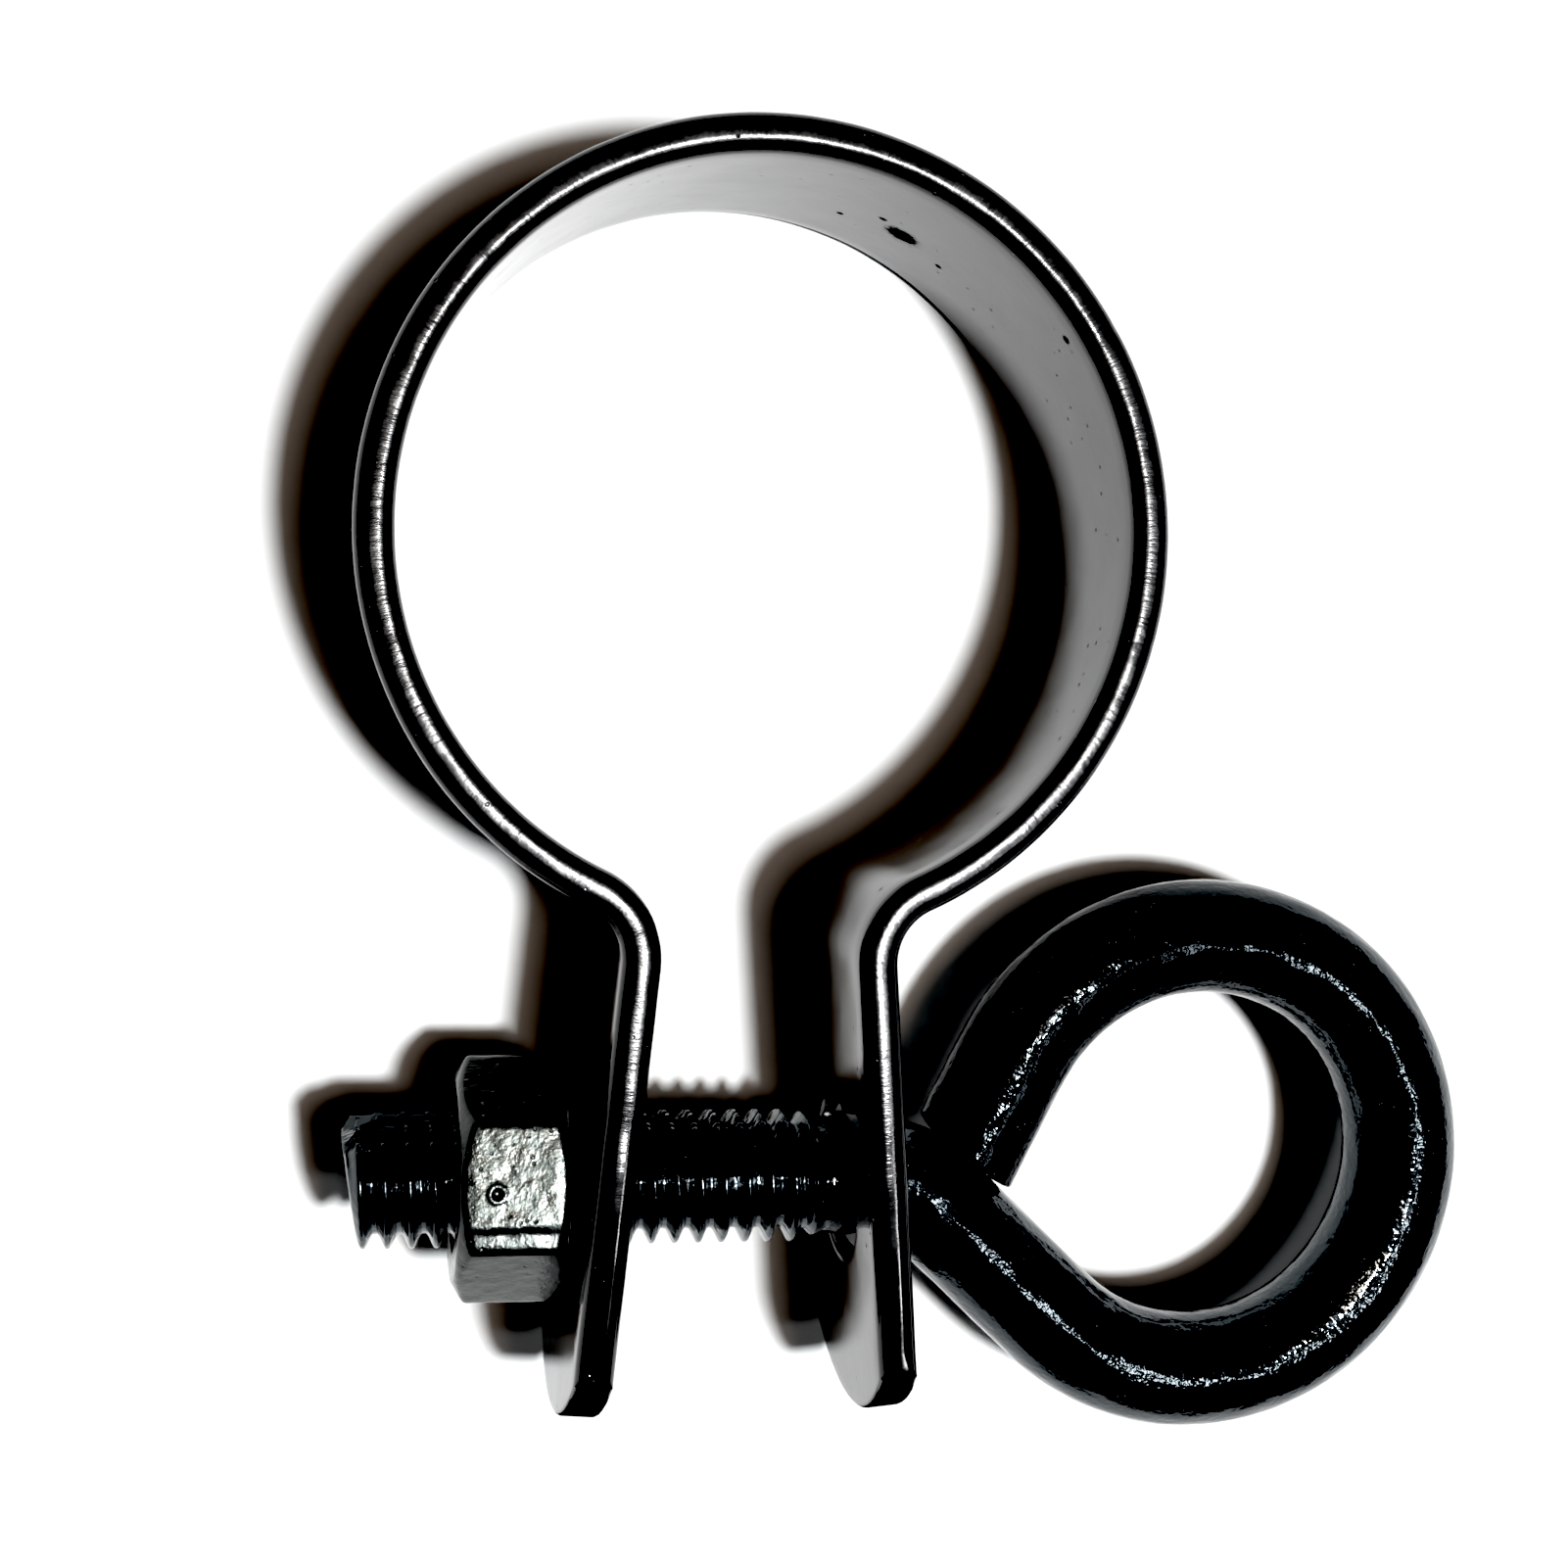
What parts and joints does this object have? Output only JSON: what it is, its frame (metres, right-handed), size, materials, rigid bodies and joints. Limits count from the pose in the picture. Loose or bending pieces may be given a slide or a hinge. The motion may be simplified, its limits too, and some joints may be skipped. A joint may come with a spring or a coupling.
{
  "type": "hose clamp",
  "caption": "Flat strap clamp: an open steel ring with two ears, drawn together by an eye bolt and a hex nut.",
  "frame": {"origin": "on the axis of the band's bore, half way along the strap's width", "axes": "+X along the bolt towards its eye, +Y from the ears to the crown of the ring, +Z along the bore"},
  "size_m": [0.0706, 0.0776, 0.019],
  "materials": {
    "band_paint": "gloss",
    "bolt_paint": "gloss",
    "nut_paint": "gloss"
  },
  "bodies": {
    "band_right": {"band_right_half": "band_paint"},
    "band_left": {"band_left_half": "band_paint"},
    "bolt": {"eye_bolt": "bolt_paint"},
    "nut": {"hex_nut": "nut_paint"}
  },
  "joints": [
    {"name": "bolt_turn", "type": "hinge", "parent": "band_right", "child": "bolt", "pos_m": [0, -0.03817, 0], "axis": [-1, 0, 0], "range_deg": [0, 2160]},
    {"name": "nut_travel", "type": "slide", "parent": "band_right", "child": "nut", "axis": [1, 0, 0], "range_m": [0, 0.00847]},
    {"name": "band_flex", "type": "hinge", "parent": "band_right", "child": "band_left", "pos_m": [0, 0.02095, 0], "axis": [0, 0, 1], "range_deg": [0, 8.09]}
  ],
  "couplings": [
    {"joint": "nut_travel", "follows": "bolt_turn", "m_per_rad": 0.00022458},
    {"joint": "band_flex", "follows": "bolt_turn", "ratio": 0.0037431}
  ]
}
